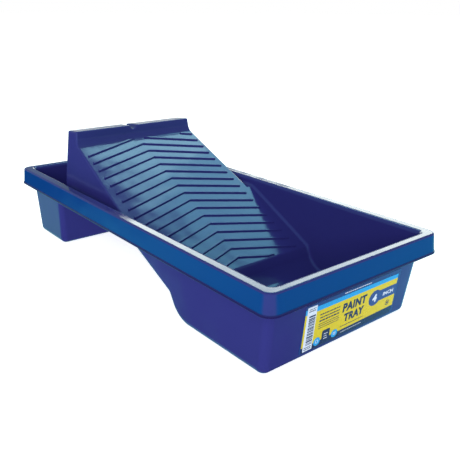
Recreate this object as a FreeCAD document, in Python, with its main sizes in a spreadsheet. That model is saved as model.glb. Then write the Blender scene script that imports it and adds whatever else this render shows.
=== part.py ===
import FreeCAD, Part
import math
import os

import Sketcher
from FreeCAD import Placement, Rotation, Vector

# A one-piece injection-moulded paint roller tray with a printed label stuck to its front wall.
# +X is across the tray, +Y runs from the paint well to the rear foot, and +Z is up. The origin
# is on the standing surface, below the middle of the rim. Every wall has the same thickness,
# so each inner form repeats an outer one, inset by the wall thickness.

DIMENSIONS = {
    # Rim: a flat shelf round the basin, with a skirt that hangs from its outer edge.
    "RimWidth": 150,
    "RimLength": 338,
    "RimHeight": 60,
    "RimCornerRadius": 7,
    "RimOuterRound": 1.4,
    "RimInnerRound": 3,
    "SkirtDrop": 14,
    "SkirtDraft": 6,
    "SkirtThickness": 1.8,
    "BeadHeight": 1.6,
    "BeadProud": 0.4,
    "BeadRound": 0.5,
    # Basin: the drafted walls that the paint well and the rear foot share.
    "WallThickness": 2,
    "FloorWidth": 132.6,
    "FloorFront": 155,
    "FloorBack": 161,
    "SideDraft": 2.2,
    "FrontDraft": 8.2,
    "BackDraft": 2.9,
    "BasinCornerRadius": 5.5,
    "FloorRadius": 4.5,
    # Ramp: the sloping rolling surface, and the curve that joins it to the well floor.
    "RampAngle": 26,
    "RampMidHeight": 48.9,
    "RampFoot": -61,
    "WellEndAngle": 63.5,
    "WellEndRadius": 18,
    "BendRadius": 1,
    # Ledges beside the wedge, and the front wall of the pocket behind it.
    "LedgeHeight": 53.4,
    "PocketFront": 108,
    "PocketDraft": 5.5,
    # Wedge: the part of the ramp that stands between the ledges and rises above the rim.
    "WedgeWidth": 122,
    "WedgeDraft": 7,
    "WedgeRound": 1.2,
    "WedgeBackRadius": 2.5,
    # Ridge: the upright stop along the top of the ramp, with a notch in its upper edge.
    "RidgeFront": 88.5,
    "RidgeTop": 102.4,
    "RidgeTopSlope": 5,
    "RidgeFrontDraft": 3,
    "RidgeBackDraft": 2,
    "RidgeFillet": 7,
    "NotchCentre": -2,
    "NotchRadius": 3.2,
    # Ribs: chevrons that point up the ramp.
    "RibPitch": 8.72,
    "RibFirst": 86.9,
    "RibCount": 17,
    "RibReach": 54,
    "RibStubStart": 43,
    "RibSweep": 14.7,
    "RibWidth": 1.6,
    "RibProud": 1.2,
    "RibRound": 0.35,
    # Label: a thin printed sticker on the outside of the front wall.
    "LabelCentre": 6,
    "LabelWidth": 89,
    "LabelHeight": 34.3,
    "LabelBottom": 4.2,
    "LabelThickness": 0.2,
    "LabelCornerRadius": 1.5,
}

# Limits for picking edges: a distance in millimetres, an angle in degrees, and the sine of an
# angle above which an edge counts as upright.
SAME_PLACE = 0.01
SHARP = 5
UPRIGHT = 0.9

doc = FreeCAD.newDocument("roller_tray")
sheet = doc.addObject("Spreadsheet::Sheet", "dims")
for row, (alias, size) in enumerate(DIMENSIONS.items(), start=1):
    sheet.set(f"A{row}", alias)
    sheet.set(f"B{row}", str(size))
    sheet.setAlias(f"B{row}", alias)
doc.recompute()


def value(expression):
    """The number that an expression over the sheet's dimensions comes to."""
    return float(sheet.evalExpression(expression))


# ---------------------------------------------------------------- sketches


def new_sketch(body, name, plane_role, offset="0"):
    """A sketch on one of the body's origin planes, moved along its normal by an expression."""
    sketch = body.newObject("Sketcher::SketchObject", name)
    plane = next(item for item in body.Origin.OriginFeatures if item.Role == plane_role)
    sketch.AttachmentSupport = [(plane, "")]
    sketch.MapMode = "FlatFace"
    sketch.setExpression(".AttachmentOffset.Base.z", offset)
    return sketch


def hold(sketch, constraint, expression):
    """Add a constraint whose size is an expression."""
    number = sketch.addConstraint(constraint)
    sketch.setExpression(f"Constraints[{number}]", expression)


def add_outline(sketch, corners):
    """A closed outline of straight lines, with each corner's place given as two expressions."""
    points = [Vector(value(x), value(y), 0) for x, y in corners]
    first = sketch.GeometryCount
    for start, end in zip(points, points[1:] + points[:1]):
        sketch.addGeometry(Part.LineSegment(start, end))
    for index, (point, (x, y)) in enumerate(zip(points, corners)):
        line = first + index
        following = first + (index + 1) % len(points)
        sketch.addConstraint(Sketcher.Constraint("Coincident", line, 2, following, 1))
        hold(sketch, Sketcher.Constraint("DistanceX", line, 1, point.x), x)
        hold(sketch, Sketcher.Constraint("DistanceY", line, 1, point.y), y)


def add_circle(sketch, x, y, radius):
    """A circle whose centre and radius are expressions."""
    centre = Vector(value(x), value(y), 0)
    circle = sketch.addGeometry(Part.Circle(centre, Vector(0, 0, 1), value(radius)))
    hold(sketch, Sketcher.Constraint("DistanceX", -1, 1, circle, 3, centre.x), x)
    hold(sketch, Sketcher.Constraint("DistanceY", -1, 1, circle, 3, centre.y), y)
    hold(sketch, Sketcher.Constraint("Radius", circle, value(radius)), radius)


def rectangle(half_width, front, back):
    """The corners of a rectangle in plan that is symmetrical about the YZ plane."""
    return [
        (f"-({half_width})", front),
        (half_width, front),
        (half_width, back),
        (f"-({half_width})", back),
    ]


def add_rim_outline(sketch, inset):
    """The rim's outline in plan, a rectangle with round corners, inset on all sides.

    Each turn adds one side and the corner that follows it, starting with the front side.
    """
    half_width = f"dims.RimWidth / 2 - ({inset})"
    half_length = f"dims.RimLength / 2 - ({inset})"
    radius = f"dims.RimCornerRadius - ({inset})"
    corner = value(radius)
    first = sketch.GeometryCount
    for turn in range(4):
        quarter = Rotation(Vector(0, 0, 1), 90 * turn)
        reach, out = (half_width, half_length) if turn % 2 == 0 else (half_length, half_width)
        along = value(reach) - corner
        start = quarter.multVec(Vector(-along, -value(out), 0))
        end = quarter.multVec(Vector(along, -value(out), 0))
        centre = quarter.multVec(Vector(along, corner - value(out), 0))
        sweep = math.radians(90 * turn)
        circle = Part.Circle(centre, Vector(0, 0, 1), corner)
        sketch.addGeometry(Part.LineSegment(start, end))
        sketch.addGeometry(Part.ArcOfCircle(circle, sweep - math.pi / 2, sweep))
    for turn in range(4):
        side = first + 2 * turn
        arc = side + 1
        following = first + 2 * ((turn + 1) % 4)
        sketch.addConstraint(Sketcher.Constraint("Tangent", side, 2, arc, 1))
        sketch.addConstraint(Sketcher.Constraint("Tangent", arc, 2, following, 1))
        if turn:
            sketch.addConstraint(Sketcher.Constraint("Equal", first + 1, arc))
    hold(sketch, Sketcher.Constraint("Radius", first + 1, corner), radius)
    for turn, direction, distance, out in (
        (0, "Horizontal", "DistanceY", f"-({half_length})"),
        (1, "Vertical", "DistanceX", half_width),
        (2, "Horizontal", "DistanceY", half_length),
        (3, "Vertical", "DistanceX", f"-({half_width})"),
    ):
        side = first + 2 * turn
        sketch.addConstraint(Sketcher.Constraint(direction, side))
        hold(sketch, Sketcher.Constraint(distance, side, 1, value(out)), out)


# ---------------------------------------------------------------- solid features


def extrude(body, name, sketch, length, kind="Pad", both_ways=False):
    """A pad or a pocket of a sketch."""
    feature = body.newObject(f"PartDesign::{kind}", name)
    feature.Profile = sketch
    feature.Midplane = both_ways
    feature.setExpression("Length", length)
    doc.recompute()
    return feature


def loft(body, name, sections, kind="Additive"):
    """A straight-sided block between two sketches, added to the body or cut from it."""
    feature = body.newObject(f"PartDesign::{kind}Loft", name)
    feature.Profile = sections[0]
    feature.Sections = sections[1:]
    feature.Ruled = True
    doc.recompute()
    return feature


def combine(body, name, kind, tool):
    """Fuse the body with another, or cut it by it, or keep what they share."""
    feature = body.newObject("PartDesign::Boolean", name)
    feature.Type = kind
    feature.addObjects([tool])
    doc.recompute()


def cut_across(body, name, corners):
    """Cut a YZ outline out of the body, across its whole width."""
    sketch = new_sketch(body, f"{name}_sketch", "YZ_Plane")
    add_outline(sketch, corners)
    extrude(body, name, sketch, "2 * dims.RimWidth", "Pocket", both_ways=True)


def round_edges(body, name, radius, wanted):
    """Fillet the edges of the body for which wanted(edge) is true."""
    tip = body.Tip
    feature = body.newObject("PartDesign::Fillet", name)
    feature.Base = (tip, [f"Edge{number}" for number, edge in enumerate(tip.Shape.Edges, 1) if wanted(edge)])
    feature.setExpression("Radius", radius)
    doc.recompute()


# ---------------------------------------------------------------- picking edges


def middle(edge):
    return edge.valueAt((edge.FirstParameter + edge.LastParameter) / 2)


def heading(edge):
    return edge.tangentAt((edge.FirstParameter + edge.LastParameter) / 2)


def is_upright(edge):
    return abs(heading(edge).z) > UPRIGHT


def crosses_at(corner):
    """Picks the edge that runs across the tray at a YZ corner given as two expressions."""
    target = Vector(0, value(corner[0]), value(corner[1]))
    return lambda edge: middle(edge).distanceToPoint(target) < SAME_PLACE


def rounds_basin_corner(edge):
    """The upright edges at the front of the well and at the back of the foot."""
    return is_upright(edge) and abs(middle(edge).y) > value("dims.FloorFront - dims.WallThickness")


def runs_below_side_wall(edge):
    """The edges at the foot of the side walls: beside the well floor, the ramp and the pocket's front."""
    point = middle(edge)
    beside = abs(point.x) > value("dims.FloorWidth / 2 - 2 * dims.WallThickness")
    below_ledge = point.z < value("dims.LedgeHeight - dims.WallThickness")
    front = value("dims.FloorRadius - dims.FloorFront")
    back = value("dims.PocketFront + dims.FloorRadius")
    return beside and below_ledge and front < point.y < back and abs(heading(edge).x) < 1 - UPRIGHT


def runs_round_foot(edge):
    """The edges round the floor of the rear foot."""
    point = middle(edge)
    low = point.z < value("dims.WallThickness") + SAME_PLACE
    return low and point.y > value("dims.PocketFront") and not is_upright(edge)


def on_rim_edge(outer):
    """Picks the outer or the inner edges of the rim's upper face."""

    def wanted(edge):
        point = middle(edge)
        level = abs(point.z - value("dims.RimHeight")) < SAME_PLACE
        margin = value("dims.RimCornerRadius / 2")
        beyond = max(
            abs(point.x) - value("dims.RimWidth / 2") + margin,
            abs(point.y) - value("dims.RimLength / 2") + margin,
        )
        return level and (beyond > 0) == outer

    return wanted


def on_bead_edge(edge):
    """The edges above and below the bead's outer face."""
    point = middle(edge)
    beyond = max(abs(point.x) - value("dims.RimWidth / 2"), abs(point.y) - value("dims.RimLength / 2"))
    return beyond > value(f"{SKIRT_FLARE} + dims.BeadProud / 2") and not is_upright(edge)


def creases(shape, above):
    """The middles of a shape's sharp edges that lie above a height."""
    found = []
    for edge in shape.Edges:
        point = middle(edge)
        normals = []
        for face in shape.ancestorsOfType(edge, Part.Face):
            u, v = face.Surface.parameter(point)
            normals.append(face.normalAt(u, v))
        turn = math.degrees(normals[0].getAngle(normals[-1]))
        if turn > SHARP and point.z > above:
            found.append(point)
    return found


# ---------------------------------------------------------------- shared expressions


def half_width_at(height, inset):
    return f"dims.FloorWidth / 2 + ({height}) * tan(dims.SideDraft) - ({inset})"


def front_at(height, inset):
    return f"-dims.FloorFront - ({height}) * tan(dims.FrontDraft) + ({inset})"


def back_at(height, inset):
    return f"dims.FloorBack + ({height}) * tan(dims.BackDraft) - ({inset})"


def ramp_height(distance, below="0"):
    """Height of the ramp, or of a plane that lies below it, at a distance along Y."""
    return f"dims.RampMidHeight + ({distance}) * tan(dims.RampAngle) - ({below}) / cos(dims.RampAngle)"


def mitred(corner, inset):
    """A corner of an outline whose two lines are moved to their right by the inset.

    A corner is its place along Y and Z and the headings of the lines before and after it, in
    degrees from +Y towards +Z.
    """
    y, z, before, after = corner
    share = f"({inset}) / (1 + cos(({after}) - ({before})))"
    return (
        f"{y} + {share} * (sin({before}) + sin({after}))",
        f"{z} - {share} * (cos({before}) + cos({after}))",
    )


def rib_edge(start, across):
    """Distance along Y of a rib's swept edge, at a distance across from its apex."""
    return f"{start} - {across} * tan(dims.RibSweep)"


RAMP = "dims.RampAngle"
WELL_END = "dims.WellEndAngle"
POCKET_WALL = "dims.PocketDraft - 90"
RIDGE_FACE = "90 - dims.RidgeFrontDraft"
RIDGE_TOP = "-dims.RidgeTopSlope"
LEVEL = "0"

RAMP_FOOT_HEIGHT = ramp_height("dims.RampFoot")
WELL_FLOOR_END = f"dims.RampFoot - ({RAMP_FOOT_HEIGHT} - dims.WallThickness) / tan({WELL_END})"
LEDGE_START = f"(dims.LedgeHeight - dims.RampMidHeight) / tan({RAMP})"
RIDGE_FOOT_HEIGHT = ramp_height("dims.RidgeFront")
RIDGE_BROW = f"dims.RidgeFront + (dims.RidgeTop - ({RIDGE_FOOT_HEIGHT})) * tan(dims.RidgeFrontDraft)"
RIDGE_FILLET_START = f"dims.RidgeFront - dims.RidgeFillet * tan(({RIDGE_FACE} - {RAMP}) / 2) * cos({RAMP})"

# The upper surface from the well floor to the rear pocket, and that of the ridge.
BENDS = (
    (WELL_FLOOR_END, "dims.WallThickness", LEVEL, WELL_END),
    ("dims.RampFoot", RAMP_FOOT_HEIGHT, WELL_END, RAMP),
    (LEDGE_START, "dims.LedgeHeight", RAMP, LEVEL),
    ("dims.PocketFront", "dims.LedgeHeight", LEVEL, POCKET_WALL),
)
RIDGE_FOOT = ("dims.RidgeFront", RIDGE_FOOT_HEIGHT, RAMP, RIDGE_FACE)
RIDGE_BROW_CORNER = (RIDGE_BROW, "dims.RidgeTop", RIDGE_FACE, RIDGE_TOP)


# ---------------------------------------------------------------- basin


def build_basin_form(label, inset, top):
    """The basin as a solid block, with the space under the ramp cut away.

    The outer form has no inset. The inner form, which is the air in the tray, is inset from
    the outer walls by the wall thickness.
    """
    body = doc.addObject("PartDesign::Body", label)
    sections = []
    for level, height in (("floor", inset), ("top", top)):
        sketch = new_sketch(body, f"{label}_{level}", "XY_Plane", height)
        walls = (half_width_at(height, inset), front_at(height, inset), back_at(height, inset))
        add_outline(sketch, rectangle(*walls))
        sections.append(sketch)
    loft(body, f"{label}_block", sections)

    below = f"(dims.WallThickness - {inset})"
    bends = [mitred(corner, below) for corner in BENDS]
    well_side = f"{bends[0][0]} - 2 * dims.WellEndRadius"
    foot_side = (
        "dims.PocketFront + (dims.LedgeHeight + dims.FloorRadius) * tan(dims.PocketDraft)"
        f" - {below} / cos(dims.PocketDraft)"
    )
    outline = [
        (well_side, "-dims.FloorRadius"),
        (well_side, bends[0][1]),
        *bends,
        (foot_side, "-dims.FloorRadius"),
    ]
    cut_across(body, f"{label}_underside", outline)

    radii = (f"dims.WellEndRadius + {below}", *3 * (f"dims.BendRadius + {inset}",))
    for number, (bend, radius) in enumerate(zip(bends, radii), start=1):
        round_edges(body, f"{label}_bend_{number}", radius, crosses_at(bend))
    round_edges(body, f"{label}_corners", f"dims.BasinCornerRadius - {inset}", rounds_basin_corner)
    round_edges(body, f"{label}_sides", f"dims.FloorRadius - {inset}", runs_below_side_wall)
    round_edges(body, f"{label}_foot", f"dims.FloorRadius - {inset}", runs_round_foot)
    return body


# ---------------------------------------------------------------- wedge, ridge and ribs


def build_wedge(label, inset):
    """The drafted wedge with its notched ridge; with an inset, the hollow inside them."""
    body = doc.addObject("PartDesign::Body", label)
    sections = []
    low = f"dims.LedgeHeight - dims.WallThickness / 2 - {inset}"
    for level, height in (("low", low), ("high", "dims.RidgeTop")):
        sketch = new_sketch(body, f"{label}_{level}", "XY_Plane", height)
        rise = f"({height} - dims.LedgeHeight)"
        side = f"dims.WedgeWidth / 2 - {rise} * tan(dims.WedgeDraft) - {inset} / cos(dims.WedgeDraft)"
        back = f"dims.PocketFront - {rise} * tan(dims.RidgeBackDraft) - {inset} / cos(dims.RidgeBackDraft)"
        add_outline(sketch, rectangle(side, "0", back))
        sections.append(sketch)
    loft(body, f"{label}_block", sections)

    foot = mitred(RIDGE_FOOT, inset)
    brow = mitred(RIDGE_BROW_CORNER, inset)
    toe = "-dims.RibPitch"
    beyond = "dims.PocketFront + dims.WallThickness"
    above = "dims.RidgeTop + dims.WallThickness"
    outline = [
        (toe, ramp_height(toe, inset)),
        foot,
        brow,
        (beyond, f"{brow[1]} - ({beyond} - ({brow[0]})) * tan(dims.RidgeTopSlope)"),
        (beyond, above),
        (toe, above),
    ]
    cut_across(body, f"{label}_slope", outline)

    def is_back_corner(edge):
        return is_upright(edge) and middle(edge).y > value("dims.RidgeFront + dims.RidgeFillet")

    round_edges(body, f"{label}_corners", f"dims.WedgeBackRadius - {inset}", is_back_corner)
    round_edges(body, f"{label}_ridge", f"dims.RidgeFillet + {inset}", crosses_at(foot))

    notch_sketch = new_sketch(body, f"{label}_notch_sketch", "XZ_Plane")
    add_circle(notch_sketch, "dims.NotchCentre", "dims.RidgeTop", f"dims.NotchRadius + {inset}")
    extrude(body, f"{label}_notch", notch_sketch, "dims.RimLength", "Pocket", both_ways=True)
    return body


def build_ribs():
    """Chevrons in plan, repeated down the ramp and trimmed to a thin band that lies on it."""
    body = doc.addObject("PartDesign::Body", "ribs")
    near = "dims.RibFirst - dims.RibWidth / 2"
    far = "dims.RibFirst + dims.RibWidth / 2"
    chevron = [
        ("-dims.RibReach", rib_edge(near, "dims.RibReach")),
        ("0", near),
        ("dims.RibReach", rib_edge(near, "dims.RibReach")),
        ("dims.RibReach", rib_edge(far, "dims.RibReach")),
        ("0", far),
        ("-dims.RibReach", rib_edge(far, "dims.RibReach")),
    ]
    sketch = new_sketch(body, "rib_sketch", "XY_Plane")
    add_outline(sketch, chevron)
    rib = extrude(body, "rib", sketch, "dims.RidgeTop")
    rows = body.newObject("PartDesign::LinearPattern", "rib_rows")
    rows.Originals = [rib]
    rows.Direction = (sketch, ["V_Axis"])
    rows.Reversed = True
    rows.setExpression("Length", "dims.RibPitch * (dims.RibCount - 1)")
    rows.setExpression("Occurrences", "dims.RibCount")
    body.Tip = rows
    doc.recompute()

    # The row above the first is cut off by the ridge, and only its right-hand end remains.
    stub = [
        ("dims.RibStubStart", rib_edge(near, "dims.RibStubStart")),
        ("dims.RibReach", rib_edge(near, "dims.RibReach")),
        ("dims.RibReach", rib_edge(far, "dims.RibReach")),
        ("dims.RibStubStart", rib_edge(far, "dims.RibStubStart")),
    ]
    stub_sketch = new_sketch(body, "rib_stub_sketch", "XY_Plane")
    add_outline(stub_sketch, [(x, f"{y} + dims.RibPitch") for x, y in stub])
    extrude(body, "rib_stub", stub_sketch, "dims.RidgeTop")

    band = doc.addObject("PartDesign::Body", "rib_band")
    band_sketch = new_sketch(band, "rib_band_sketch", "YZ_Plane")
    low = "dims.RampFoot + dims.RibProud"
    high = RIDGE_FILLET_START
    core = "dims.WallThickness / 2"
    add_outline(
        band_sketch,
        [
            (low, ramp_height(low, core)),
            (high, ramp_height(high, core)),
            (high, ramp_height(high, "-dims.RibProud")),
            (low, ramp_height(low, "-dims.RibProud")),
        ],
    )
    extrude(band, "rib_band_block", band_sketch, "dims.RimWidth", both_ways=True)
    combine(body, "ribs_on_ramp", "Common", band)

    def is_top_edge(edge):
        point = middle(edge)
        proud = point.z - value(ramp_height(point.y, "-dims.RibProud"))
        return abs(proud) < SAME_PLACE

    round_edges(body, "rib_tops", "dims.RibRound", is_top_edge)
    return body


# ---------------------------------------------------------------- rim

SKIRT_EDGE = "(dims.RimHeight - dims.SkirtDrop)"
SKIRT_FLARE = "dims.SkirtDrop * tan(dims.SkirtDraft)"


def add_rim_block(body, name, kind, inset, top):
    """A block with round corners that flares outwards from its top down to the skirt's edge."""
    sections = []
    for level, height in (("base", SKIRT_EDGE), ("top", top)):
        sketch = new_sketch(body, f"{name}_{level}", "XY_Plane", height)
        add_rim_outline(sketch, f"{inset} - (dims.RimHeight - ({height})) * tan(dims.SkirtDraft)")
        sections.append(sketch)
    loft(body, name, sections, kind)


def build_rim():
    """The shelf, its skirt and the bead along the skirt's lower edge, with no basin in it yet."""
    body = doc.addObject("PartDesign::Body", "tray_moulding")
    body.Label = "tray_moulding"
    add_rim_block(body, "shelf", "Additive", "0", "dims.RimHeight")
    underside = "dims.RimHeight - dims.WallThickness"
    add_rim_block(body, "skirt_space", "Subtractive", "dims.SkirtThickness", underside)
    bead_sketch = new_sketch(body, "bead_sketch", "XY_Plane", SKIRT_EDGE)
    add_rim_outline(bead_sketch, f"-{SKIRT_FLARE} - dims.BeadProud")
    add_rim_outline(bead_sketch, f"dims.SkirtThickness / 2 - {SKIRT_FLARE}")
    extrude(body, "bead", bead_sketch, "dims.BeadHeight")
    round_edges(body, "bead_round", "dims.BeadRound", on_bead_edge)
    return body


# ---------------------------------------------------------------- label


def build_label():
    """A rectangular sticker with round corners, lying on the drafted front wall."""
    body = doc.addObject("PartDesign::Body", "front_label")
    body.Label = "front_label"
    body.Placement = Placement(Vector(), Rotation(Vector(1, 0, 0), 90))
    body.setExpression("Placement.Base.x", "dims.LabelCentre")
    body.setExpression("Placement.Base.y", "-dims.FloorFront")
    body.setExpression("Placement.Rotation.Angle", "90 + dims.FrontDraft")
    sketch = new_sketch(body, "label_sketch", "XY_Plane")
    top = "dims.LabelBottom + dims.LabelHeight"
    add_outline(sketch, rectangle("dims.LabelWidth / 2", "dims.LabelBottom", top))
    extrude(body, "sticker", sketch, "dims.LabelThickness")
    round_edges(body, "label_corners", "dims.LabelCornerRadius", is_upright)
    return body


# ---------------------------------------------------------------- the tray

tray = build_rim()
outer_form = build_basin_form("outer_form", "0", "dims.RimHeight - dims.WallThickness / 2")
inner_form = build_basin_form("inner_form", "dims.WallThickness", "dims.RimHeight + dims.FloorRadius")
combine(tray, "basin_outside", "Fuse", outer_form)
combine(tray, "basin_inside", "Cut", inner_form)
round_edges(tray, "rim_inner_round", "dims.RimInnerRound", on_rim_edge(outer=False))
round_edges(tray, "rim_outer_round", "dims.RimOuterRound", on_rim_edge(outer=True))

wedge = build_wedge("wedge", "0")
wedge_creases = creases(wedge.Tip.Shape, value("dims.LedgeHeight"))
round_edges(wedge, "wedge_creases", "dims.WedgeRound", lambda edge: middle(edge) in wedge_creases)
combine(tray, "wedge_outside", "Fuse", wedge)
combine(tray, "wedge_inside", "Cut", build_wedge("wedge_hollow", "dims.WallThickness"))
combine(tray, "ribs_on_tray", "Fuse", build_ribs())
front_label = build_label()

doc.recompute()
for item in doc.Objects:
    if "Invalid" in item.State or "Error" in item.State:
        raise RuntimeError(f"{item.Name} can't be built: {item.getStatusString()}")

os.makedirs("parts", exist_ok=True)
for piece in (tray, front_label):
    if piece.Shape.isNull() or not piece.Shape.isValid() or len(piece.Shape.Solids) != 1:
        raise RuntimeError(f"{piece.Label} isn't one valid solid")
    piece.Shape.exportStep(f"parts/{piece.Label}.step")
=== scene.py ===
import math
import random

import bmesh
import bpy
from mathutils import Matrix, Vector


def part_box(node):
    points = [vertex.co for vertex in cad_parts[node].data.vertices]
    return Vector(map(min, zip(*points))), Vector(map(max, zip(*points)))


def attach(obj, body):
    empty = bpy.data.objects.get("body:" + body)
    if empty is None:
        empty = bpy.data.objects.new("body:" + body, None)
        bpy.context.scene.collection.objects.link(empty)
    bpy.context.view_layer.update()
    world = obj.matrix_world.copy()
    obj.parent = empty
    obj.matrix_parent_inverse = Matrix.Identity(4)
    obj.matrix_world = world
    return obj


# A moulded blue paint roller tray with a printed label on its front wall. The CAD model is the
# tray itself; this script gives it its plastic and prints the label. Lengths are in metres, but
# the label's artwork is laid out in millimetres.

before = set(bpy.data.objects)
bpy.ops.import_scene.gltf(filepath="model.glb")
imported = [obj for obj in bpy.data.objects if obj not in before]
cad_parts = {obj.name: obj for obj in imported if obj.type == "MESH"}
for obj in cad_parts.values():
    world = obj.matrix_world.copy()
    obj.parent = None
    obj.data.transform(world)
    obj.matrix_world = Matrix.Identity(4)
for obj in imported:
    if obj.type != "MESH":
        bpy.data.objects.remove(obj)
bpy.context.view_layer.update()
MM = 0.001

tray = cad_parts["tray_moulding"]
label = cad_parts["front_label"]
_, TRAY_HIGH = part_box("tray_moulding")
random.seed(4)


# ------------------------------------------------------------------ node helpers


def new_material(name):
    material = bpy.data.materials.new(name)
    material.use_nodes = True
    nodes = material.node_tree.nodes
    nodes.clear()
    output = nodes.new("ShaderNodeOutputMaterial")
    shader = nodes.new("ShaderNodeBsdfPrincipled")
    material.node_tree.links.new(shader.outputs["BSDF"], output.inputs["Surface"])
    return material, shader


class Graph:
    """Short names for the nodes that the materials are built from."""

    def __init__(self, tree, coordinates="Object"):
        self.tree = tree
        source = tree.nodes.new("ShaderNodeTexCoord")
        self.place = source.outputs[coordinates]
        self.normal = source.outputs["Normal"]

    def link(self, source, target):
        self.tree.links.new(source, target)

    def stretched(self, scale):
        node = self.tree.nodes.new("ShaderNodeMapping")
        node.inputs["Scale"].default_value = scale
        self.link(self.place, node.inputs["Vector"])
        return node.outputs["Vector"]

    def noise(self, scale, detail=3.0, roughness=0.5, vector=None):
        node = self.tree.nodes.new("ShaderNodeTexNoise")
        node.inputs["Scale"].default_value = scale
        node.inputs["Detail"].default_value = detail
        node.inputs["Roughness"].default_value = roughness
        self.link(vector or self.place, node.inputs["Vector"])
        return node.outputs["Fac"]

    def remap(self, value, span, result=(0.0, 1.0), smooth=False):
        """A value carried from one span over to another, and held at both ends."""
        node = self.tree.nodes.new("ShaderNodeMapRange")
        node.interpolation_type = "SMOOTHSTEP" if smooth else "LINEAR"
        names = ("From Min", "From Max", "To Min", "To Max")
        for name, number in zip(names, (*span, *result)):
            node.inputs[name].default_value = number
        self.link(value, node.inputs["Value"])
        return node.outputs["Result"]

    def math(self, operation, first, second=0.0):
        node = self.tree.nodes.new("ShaderNodeMath")
        node.operation = operation
        for socket, value in zip(node.inputs, (first, second)):
            if isinstance(value, (int, float)):
                socket.default_value = value
            else:
                self.link(value, socket)
        return node.outputs["Value"]

    def split(self, vector):
        node = self.tree.nodes.new("ShaderNodeSeparateXYZ")
        self.link(vector, node.inputs["Vector"])
        return node.outputs

    def largest(self, vector, scales=(1.0, 1.0)):
        """The larger of a vector's |x| and |y|, each times its own scale."""
        sizes = [self.math("ABSOLUTE", part) for part in self.split(vector)[:2]]
        scaled = [self.math("MULTIPLY", size, scale) for size, scale in zip(sizes, scales)]
        return self.math("MAXIMUM", *scaled)

    def mix(self, factor, first, second):
        node = self.tree.nodes.new("ShaderNodeMix")
        node.data_type = "RGBA"
        colours = [socket for socket in node.inputs if socket.type == "RGBA"]
        self.link(factor, node.inputs["Factor"])
        for socket, value in zip(colours, (first, second)):
            if isinstance(value, tuple):
                socket.default_value = (*value, 1.0)
            else:
                self.link(value, socket)
        return next(socket for socket in node.outputs if socket.type == "RGBA")

    def bump(self, height, distance, below=None):
        node = self.tree.nodes.new("ShaderNodeBump")
        node.inputs["Strength"].default_value = 1.0
        node.inputs["Distance"].default_value = distance
        self.link(height, node.inputs["Height"])
        if below is not None:
            self.link(below, node.inputs["Normal"])
        return node.outputs["Normal"]


# ------------------------------------------------------------------ materials

BLUE = (0.034, 0.032, 0.198)
# Painted reflection: the skirt's flat outer faces take the plastic's blue shifted to cyan, in place of
# the bright surroundings they mirror.
SKIRT_BLUE_PAINTED_SHEEN = (0.003, 0.039, 0.206)
# Painted shade: a dark violet on the bead under the skirt, where the skirt's overhang keeps the light
# off.
BEAD_PAINTED_SHADE = (0.016, 0.008, 0.085)
FLOW_MARK = 0.9
GLOSS_TINT = (0.35, 0.85, 1.0, 1.0)
PLASTIC_IOR = 1.49

# Where the painted reflection on the skirt and the painted shade on its bead begin. A reach is a share
# of the tray's half width or half length, and a facing says how squarely a face looks along X or Y. The
# bead's painted shade fades out upwards.
SKIRT_SHEEN_REACH = (0.955, 0.975)
SKIRT_SHEEN_FACING = (0.90, 0.99)
BEAD_SHADE_REACH = (0.962, 0.972)
BEAD_SHADE_TOP = (47.3 * MM, 47.6 * MM)


def moulded_blue():
    """Glossy polypropylene: a deep blue with faint flow marks, orange peel and fine scuffs, a painted
    cyan reflection on the skirt's flat faces and painted shade on the bead under the skirt.
    """
    material, shader = new_material("moulded_blue_plastic")
    graph = Graph(material.node_tree)
    shader.inputs["IOR"].default_value = PLASTIC_IOR
    shader.inputs["Specular Tint"].default_value = GLOSS_TINT

    flow = graph.noise(9.0, 4.0, 0.55, graph.stretched((1.0, 0.35, 1.0)))
    darker = tuple(FLOW_MARK * part for part in BLUE)
    body = graph.mix(graph.remap(flow, (0.35, 0.65)), BLUE, darker)
    outermost = graph.largest(graph.place, (1.0 / TRAY_HIGH.x, 1.0 / TRAY_HIGH.y))
    # Painted reflection mask: the flat faces of the outer skirt, where the cyan sheen is painted.
    skirt_sheen_mask = graph.math(
        "MULTIPLY",
        graph.remap(outermost, SKIRT_SHEEN_REACH),
        graph.remap(graph.largest(graph.normal), SKIRT_SHEEN_FACING, smooth=True),
    )
    # Painted shade mask: the bead round the skirt's lower edge, fading out upwards.
    bead_shade_mask = graph.math(
        "MULTIPLY",
        graph.remap(outermost, BEAD_SHADE_REACH),
        graph.remap(graph.split(graph.place)["Z"], BEAD_SHADE_TOP, (1.0, 0.0)),
    )
    # The plastic's blue, with the painted reflection on the skirt's flat faces.
    with_skirt_sheen = graph.mix(skirt_sheen_mask, body, SKIRT_BLUE_PAINTED_SHEEN)
    # On the bead the painted shade takes the place of the plastic's colour.
    graph.link(graph.mix(bead_shade_mask, with_skirt_sheen, BEAD_PAINTED_SHADE), shader.inputs["Base Color"])

    cloud = graph.remap(graph.noise(28.0, 3.0, 0.6), (0.3, 0.7), (0.10, 0.16))
    scratches = graph.noise(900.0, 2.0, 0.7, graph.stretched((1.0, 0.06, 1.0)))
    scuff = graph.remap(scratches, (0.6, 0.8), (0.0, 0.06))
    graph.link(graph.math("ADD", cloud, scuff), shader.inputs["Roughness"])

    peel = graph.bump(graph.noise(260.0, 2.0), 0.01 * MM)
    waves = graph.bump(graph.noise(22.0, 2.0), 0.9 * MM, peel)
    graph.link(waves, shader.inputs["Normal"])
    return material


def printed(name, ink, worn):
    """Ink on a glossy film: the colour is slightly uneven, and the film is not quite flat."""
    material, shader = new_material(name)
    graph = Graph(material.node_tree)
    grain = graph.remap(graph.noise(1400.0, 2.0), (0.3, 0.7))
    graph.link(graph.mix(grain, ink, worn), shader.inputs["Base Color"])
    rough = graph.remap(graph.noise(120.0), (0.3, 0.7), (0.23, 0.36))
    graph.link(rough, shader.inputs["Roughness"])
    graph.link(graph.bump(graph.noise(160.0, 1.0), 0.03 * MM), shader.inputs["Normal"])
    return material


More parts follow.
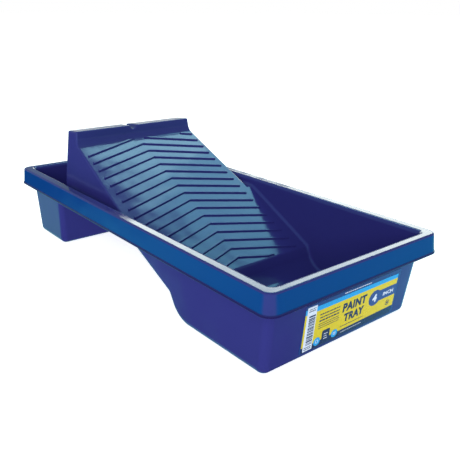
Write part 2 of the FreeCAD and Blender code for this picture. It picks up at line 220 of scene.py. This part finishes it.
BLUE_PLASTIC = moulded_blue()
NAVY = printed("print_navy", (0.016, 0.046, 0.215), (0.020, 0.054, 0.235))
INK = printed("print_ink", (0.014, 0.022, 0.085), (0.022, 0.034, 0.12))
YELLOW = printed("print_yellow", (0.74, 0.58, 0.006), (0.69, 0.53, 0.008))
SKY = printed("print_sky", (0.015, 0.33, 0.76), (0.02, 0.37, 0.80))
WHITE = printed("print_white", (0.74, 0.79, 0.93), (0.68, 0.74, 0.90))
TAB_BLUE = printed("print_tab_blue", (0.030, 0.060, 0.260), (0.034, 0.068, 0.285))


def set_material(item, material):
    item.data.materials.clear()
    item.data.materials.append(material)


set_material(tray, BLUE_PLASTIC)
set_material(label, NAVY)


# ------------------------------------------------------------------ label print


def label_face():
    """The label's outer face: a matrix that places things from its lower left corner, and its width."""
    mesh = label.data
    outward = Vector()
    for polygon in mesh.polygons:
        if polygon.normal.y < -0.5:
            outward += polygon.normal * polygon.area
    outward.normalize()
    right = Vector((1, 0, 0))
    up = outward.cross(right)
    across = [vertex.co.dot(right) for vertex in mesh.vertices]
    upward = [vertex.co.dot(up) for vertex in mesh.vertices]
    out = [vertex.co.dot(outward) for vertex in mesh.vertices]
    placing = Matrix((right, up, outward)).transposed().to_4x4()
    placing.translation = right * min(across) + up * min(upward) + outward * max(out)
    return placing, max(across) - min(across)


ON_LABEL, LABEL_WIDTH = label_face()
LAYER = 0.04 * MM
WELD = 0.001 * MM

# How the artwork sits on its film: where its corner lands, its scale across and upwards, how far
# it leans back and climbs to the right, and how much lower it gets per metre to the right.
ART_CORNER = (1.44 * MM, 0.4 * MM)
ART_SCALE = (0.970, 1.026)
LEAN = 0.035
CLIMB = 0.0224
NARROWING = 0.00102 / MM


def arc(x, y, radius, start, end, steps=48):
    """Points round a centre, from one angle in degrees to another; a whole turn isn't closed twice."""
    count = steps if end - start == 360 else steps + 1
    turns = [math.radians(start + (end - start) * k / steps) for k in range(count)]
    return [(x + radius * math.cos(turn), y + radius * math.sin(turn)) for turn in turns]


def askew(x, y):
    """Where the artwork lands on its film: it leans back a little and narrows towards the right."""
    across = ART_CORNER[0] + ART_SCALE[0] * x - LEAN * y
    upward = ART_CORNER[1] + CLIMB * x + (ART_SCALE[1] - NARROWING * x) * y
    return across, upward


class Print:
    """One colour of the label's print: thin closed shapes that lie on the label."""

    def __init__(self, name, material, layer):
        self.name = name
        self.material = material
        self.low = -0.5 * LAYER
        self.high = layer * LAYER
        self.shapes = bmesh.new()

    def loop(self, points, height):
        """Corners at one height, over points in millimetres from the label's lower left corner."""
        return [self.shapes.verts.new((x * MM, y * MM, height)) for x, y in points]

    def skin(self, first, second):
        """Quads all the way round between two loops."""
        for k in range(len(first)):
            after = (k + 1) % len(first)
            self.shapes.faces.new((first[k], first[after], second[after], second[k]))

    def outline(self, points):
        """A closed prism over an outline."""
        bottom = self.loop(points, self.low)
        top = self.loop(points, self.high)
        self.shapes.faces.new(list(reversed(bottom)))
        self.shapes.faces.new(top)
        self.skin(bottom, top)

    def bar(self, left, bottom, right, top):
        self.outline([(left, bottom), (right, bottom), (right, top), (left, top)])

    def rounded_bar(self, left, bottom, right, top, radius):
        corners = (
            (left + radius, bottom + radius, 180),
            (right - radius, bottom + radius, 270),
            (right - radius, top - radius, 0),
            (left + radius, top - radius, 90),
        )
        points = []
        for x, y, start in corners:
            points += arc(x, y, radius, start, start + 90, 8)
        self.outline(points)

    def disc(self, x, y, radius):
        self.outline(arc(x, y, radius, 0, 360))

    def ring(self, x, y, radius, width):
        """A closed hoop, as four loops joined by quads."""
        outer = arc(x, y, radius, 0, 360)
        inner = arc(x, y, radius - width, 0, 360)
        loops = [
            self.loop(outer, self.low),
            self.loop(outer, self.high),
            self.loop(inner, self.high),
            self.loop(inner, self.low),
        ]
        for first, second in zip(loops, loops[1:] + loops[:1]):
            self.skin(first, second)

    def words(self, text, left, bottom, right, top, weight):
        """Plain upright lettering in Blender's own font, thickened and stretched to fill a box."""
        curve = bpy.data.curves.new(text, "FONT")
        curve.body = text
        curve.extrude = 1.0
        curve.offset = weight
        curve.space_character = 1.0 + 2.0 * weight
        curve.resolution_u = 6
        carrier = bpy.data.objects.new(text, curve)
        mesh = bpy.data.meshes.new_from_object(carrier)
        low = [min(vertex.co[k] for vertex in mesh.vertices) for k in range(3)]
        high = [max(vertex.co[k] for vertex in mesh.vertices) for k in range(3)]
        targets = ((left * MM, right * MM), (bottom * MM, top * MM), (self.low, self.high))
        for vertex in mesh.vertices:
            for k, (start, end) in enumerate(targets):
                share = (vertex.co[k] - low[k]) / (high[k] - low[k])
                vertex.co[k] = start + share * (end - start)
        self.shapes.from_mesh(mesh)
        bpy.data.objects.remove(carrier)
        bpy.data.meshes.remove(mesh)
        bpy.data.curves.remove(curve)

    def greeked(self, left, bottom, right, height, word, gap):
        """A line of words too small to read: short bars of varying length."""
        x = left
        while x < right - 0.3 * word:
            end = min(x + word * random.uniform(0.4, 1.3), right)
            self.bar(x, bottom, end, bottom + height)
            x = end + gap

    def code_bars(self, left, bottom, right, top):
        """A stack of bars of random thickness, with no code in them."""
        y = bottom
        while y < top:
            thick = random.choice((0.35, 0.5, 0.8, 1.1))
            self.bar(left, y, right, y + thick)
            y += thick + random.choice((0.35, 0.5, 0.7))

    def finish(self):
        for vertex in self.shapes.verts:
            vertex.co.x, vertex.co.y = askew(vertex.co.x, vertex.co.y)
        mesh = bpy.data.meshes.new(self.name)
        bmesh.ops.remove_doubles(self.shapes, verts=self.shapes.verts, dist=WELD)
        bmesh.ops.recalc_face_normals(self.shapes, faces=self.shapes.faces)
        self.shapes.to_mesh(mesh)
        self.shapes.free()
        mesh.transform(ON_LABEL)
        mesh.materials.append(self.material)
        piece = bpy.data.objects.new(self.name, mesh)
        bpy.context.scene.collection.objects.link(piece)
        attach(piece, "root")


# The artwork's layout in millimetres, before it is set askew. A box is left, bottom, right and
# top; a round is x, y and radius.
WIDTH = LABEL_WIDTH / MM
EDGE = 0.05
BAND_TOP = 3.9
FIELD_TOP = 26.9
STRIPE_TOP = 30.4
CODE_STRIP = (1.5, 0.4, 9.6, 31.8)
CODE_BARS = (3.4, 4.6, 9.0, 26.2)
TITLE_WEIGHT = 0.045
DISC = (66.8, 17.6, 6.2)
TAB_BOTTOM = 13.6
TAB_TOP = 22.3
SYMBOL = (82.2, 8.4, 2.1)
SHIELD = (17.8, 0.8, 24.8, 10.1)
FIRST_DOT = (13.6, 3.9)
SECOND_DOT = (29.6, 3.8)
DOT_RADIUS = 2.9


def print_fields():
    """The flat colours under the rest: yellow, a sky blue stripe, a dark lower band, a white strip."""
    field = Print("label_yellow_field", YELLOW, 1)
    field.bar(EDGE, BAND_TOP, WIDTH - EDGE, FIELD_TOP)
    field.finish()

    sky = Print("label_sky_print", SKY, 1)
    sky.bar(EDGE, FIELD_TOP, WIDTH - EDGE, STRIPE_TOP)
    sky.finish()

    lower = Print("label_lower_band", INK, 1)
    lower.outline([(EDGE, -0.3), (WIDTH - 1.5, -2.0), (WIDTH - EDGE, BAND_TOP), (EDGE, BAND_TOP)])
    lower.finish()

    strip = Print("label_code_strip", WHITE, 2)
    strip.bar(*CODE_STRIP)
    strip.finish()


def print_ink():
    """The dark print: bars on the strip, small words, the title, a ring round a bar, and a shield."""
    ink = Print("label_ink_print", INK, 3)
    ink.code_bars(*CODE_BARS)
    for left, bottom, height in ((2.6, 1.4, 0.6), (2.6, 2.7, 0.6), (2.8, 28.4, 0.7), (2.8, 29.9, 0.5)):
        ink.greeked(left, bottom, 8.6, height, 1.6, 0.35)
    for row, (height, word) in enumerate(((0.75, 2.0), (0.75, 2.2), (0.95, 2.6))):
        ink.greeked(13.4 + 0.4 * (row % 2), 22.9 - 2.35 * row, 31.2, height, word, 0.45)
    for row in range(3):
        ink.greeked(13.2, 16.2 - 1.55 * row, 32.0, 0.4, 1.4, 0.3)
    ink.words("PAINT", 34.6, 17.4, 57.6, 24.0, TITLE_WEIGHT)
    ink.words("TRAY", 37.0, 9.2, 56.4, 15.6, TITLE_WEIGHT)
    ink.greeked(34.5, 6.3, 57.0, 0.45, 1.6, 0.3)
    x, y, _ = SYMBOL
    ink.ring(*SYMBOL, 0.4)
    ink.bar(x - 0.9, y - 0.8, x + 0.9, y + 0.8)
    ink.rounded_bar(*SHIELD, 1.0)
    ink.finish()


def print_badge():
    """The size badge: a disc and its tab to the label's right edge, as one outline."""
    badge = Print("label_size_badge", TAB_BLUE, 2)
    x, y, radius = DISC
    above, below = (math.degrees(math.asin((edge - y) / radius)) for edge in (TAB_TOP, TAB_BOTTOM))
    tab_end = [(WIDTH - EDGE, TAB_BOTTOM), (WIDTH - EDGE, TAB_TOP)]
    badge.outline(arc(x, y, radius, above, 360 + below) + tab_end)
    badge.finish()


def print_dots():
    """Two sky blue discs that overlap the lower band."""
    dots = Print("label_discs", SKY, 4)
    dots.disc(*FIRST_DOT, DOT_RADIUS)
    dots.disc(*SECOND_DOT, DOT_RADIUS)
    dots.finish()


def print_white():
    """The white print: the size, two lines of small words, and marks on the discs and the shield."""
    pale = Print("label_white_print", WHITE, 5)
    x, y, _ = DISC
    pale.words("4", x - 2.4, y - 3.1, x + 1.8, y + 3.1, 0.05)
    pale.words("INCH", 75.2, 16.4, 86.0, 19.3, 0.03)
    pale.greeked(34.0, 31.7, 60.0, 0.6, 1.7, 0.5)
    pale.greeked(36.0, 1.7, 56.0, 0.35, 1.4, 0.5)
    pale.ring(*FIRST_DOT, 1.3, 0.35)
    x, y = SECOND_DOT
    pale.bar(x - 1.4, y + 0.3, x + 1.4, y + 0.8)
    pale.bar(x - 0.9, y - 0.9, x + 0.9, y - 0.4)
    for bottom, right in ((3.4, 23.0), (5.2, 22.2), (7.0, 23.0)):
        pale.bar(19.5, bottom, right, bottom + 0.45)
    pale.finish()


print_fields()
print_ink()
print_badge()
print_dots()
print_white()


# ------------------------------------------------------------------ stage, light and camera

FLOOR_SIZE = 60.0
FLOOR_GLOW = 0.75
LIGHT_DISTANCE = 2.0

# Soft coloured areas round the tray, which its plastic mirrors.
OVERHEAD = (0.27, 0.37, 0.40)
LOW_BAND = (0.02, 0.26, 0.30)
LEFT_BAND = (0.0, 0.05, 0.06)
HORIZON = (1.0, 1.0, 1.0)
SWEEP = (0.08, 0.58, 0.70)
BACK_SWEEP = (0.02, 0.12, 0.14)
BACK_CARD = (0.20, 0.60, 0.50)
NEAR_TRAY = (0.01, 0.06, 0.08)
RIGHT_CARD = (0.25, 0.95, 1.10)


def pale_floor():
    """A nearly white floor that gives a little light of its own and isn't mirrored in the plastic."""
    bpy.ops.mesh.primitive_plane_add(size=FLOOR_SIZE)
    floor = bpy.context.object
    floor.name = "floor"
    material, shader = new_material("pale_floor")
    graph = Graph(material.node_tree)
    tone = graph.mix(graph.noise(3.0), (0.90, 0.90, 0.905), (0.92, 0.92, 0.925))
    graph.link(tone, shader.inputs["Base Color"])
    shader.inputs["Roughness"].default_value = 0.9
    shader.inputs["Specular IOR Level"].default_value = 0.0
    shader.inputs["Emission Color"].default_value = (1.0, 1.0, 1.0, 1.0)
    shader.inputs["Emission Strength"].default_value = FLOOR_GLOW
    set_material(floor, material)
    floor.visible_glossy = False


def studio_world():
    """The surroundings by direction: pale blue above, a white horizon, and blue or green areas below."""
    world = bpy.data.worlds.new("studio")
    bpy.context.scene.world = world
    world.use_nodes = True
    graph = Graph(world.node_tree, "Generated")
    across, along, height = graph.split(graph.place)

    underneath = graph.mix(graph.remap(across, (0.6, 0.8)), NEAR_TRAY, RIGHT_CARD)
    sideways = graph.mix(graph.remap(height, (-0.45, -0.28), smooth=True), underneath, SWEEP)
    behind = graph.mix(graph.remap(height, (-0.29, -0.25), smooth=True), BACK_CARD, BACK_SWEEP)
    central = graph.remap(graph.math("ABSOLUTE", across), (0.37, 0.46), (1.0, 0.0), smooth=True)
    straight_back = graph.math("MULTIPLY", central, graph.remap(along, (0.0, 0.1)))
    lower = graph.mix(straight_back, sideways, behind)

    on_left = graph.mix(graph.remap(height, (-0.25, -0.18), smooth=True), lower, LEFT_BAND)
    elsewhere = graph.mix(graph.remap(height, (-0.19, -0.13), smooth=True), lower, LOW_BAND)
    banded = graph.mix(graph.remap(across, (-0.40, -0.25), smooth=True), on_left, elsewhere)
    both = graph.mix(graph.remap(height, (0.0, 0.02)), banded, OVERHEAD)
    from_horizon = graph.remap(graph.math("ABSOLUTE", height), (0.02, 0.05), smooth=True)
    surroundings = graph.mix(from_horizon, HORIZON, both)
    graph.link(surroundings, world.node_tree.nodes["Background"].inputs["Color"])


def heading(azimuth, elevation):
    """A direction from the tray, and the level one beside it; azimuth runs from +X towards +Y."""
    turn = math.radians(azimuth)
    rise = math.radians(elevation)
    level = math.cos(rise)
    towards = Vector((math.cos(turn) * level, math.sin(turn) * level, math.sin(rise)))
    return towards, Vector((-math.sin(turn), math.cos(turn), 0))


def hang(name, lamp, towards):
    """A lamp in the scene that shines back along a direction."""
    holder = bpy.data.objects.new(name, lamp)
    bpy.context.scene.collection.objects.link(holder)
    holder.rotation_euler = towards.to_track_quat("Z", "Y").to_euler()
    return holder


def softbox(name, azimuth, elevation, width, height, power, tint, aside):
    """An area light that faces the tray, slid along its own width."""
    lamp = bpy.data.lights.new(name, "AREA")
    lamp.shape = "RECTANGLE"
    lamp.size = width
    lamp.size_y = height
    lamp.energy = power
    lamp.color = tint
    towards, beside = heading(azimuth, elevation)
    box = hang(name, lamp, towards)
    box.location = Vector((0, 0, 0.5 * TRAY_HIGH.z)) + LIGHT_DISTANCE * towards + aside * beside
    box.visible_camera = False


def key_light(azimuth, elevation, strength, spread):
    """A broad distant light, as wide as a large diffuser, that the plastic doesn't mirror."""
    lamp = bpy.data.lights.new("key_light", "SUN")
    lamp.energy = strength
    lamp.angle = math.radians(spread)
    towards, _ = heading(azimuth, elevation)
    hang("key_light", lamp, towards).visible_glossy = False


def photo_camera():
    """The view from the front left and above, solved from the tray's own straight edges."""
    azimuth = math.radians(-39.77)
    elevation = math.radians(19.96)
    roll = math.radians(0.41)
    distance = 0.4776
    sideways = 0.03584
    downward = 0.00781
    target = Vector((0, 0, 0.040))
    back = Vector((
        math.sin(azimuth) * math.cos(elevation),
        -math.cos(azimuth) * math.cos(elevation),
        math.sin(elevation),
    ))
    level = Vector((math.cos(azimuth), math.sin(azimuth), 0))
    above = back.cross(level)
    right = level * math.cos(roll) + above * math.sin(roll)
    up = above * math.cos(roll) - level * math.sin(roll)
    lens = bpy.data.cameras.new("photo_camera")
    lens.sensor_width = 36.0
    lens.lens = 46.77
    lens.shift_x = -0.0248
    lens.shift_y = -0.0042
    lens.clip_start = 0.01
    camera = bpy.data.objects.new("photo_camera", lens)
    bpy.context.scene.collection.objects.link(camera)
    matrix = Matrix((right, up, back)).transposed().to_4x4()
    matrix.translation = target + right * sideways - up * downward + back * distance
    camera.matrix_world = matrix
    bpy.context.scene.camera = camera


pale_floor()
studio_world()
softbox(
    "back_softbox", azimuth=38.5, elevation=22.9, width=1.72, height=0.49,
    power=13.0, tint=(1.0, 0.99, 0.86), aside=0.05,
)
softbox(
    "top_softbox", azimuth=30, elevation=50.9, width=0.775, height=0.45,
    power=5.3, tint=(0.66, 1.0, 1.0), aside=0.3875,
)
softbox(
    "top_softbox_end", azimuth=30, elevation=50.7, width=0.57, height=0.45,
    power=2.7, tint=(0.48, 0.95, 1.0), aside=-0.285,
)
key_light(azimuth=215, elevation=27, strength=1.55, spread=35)
photo_camera()
bpy.context.scene.view_settings.view_transform = "Standard"
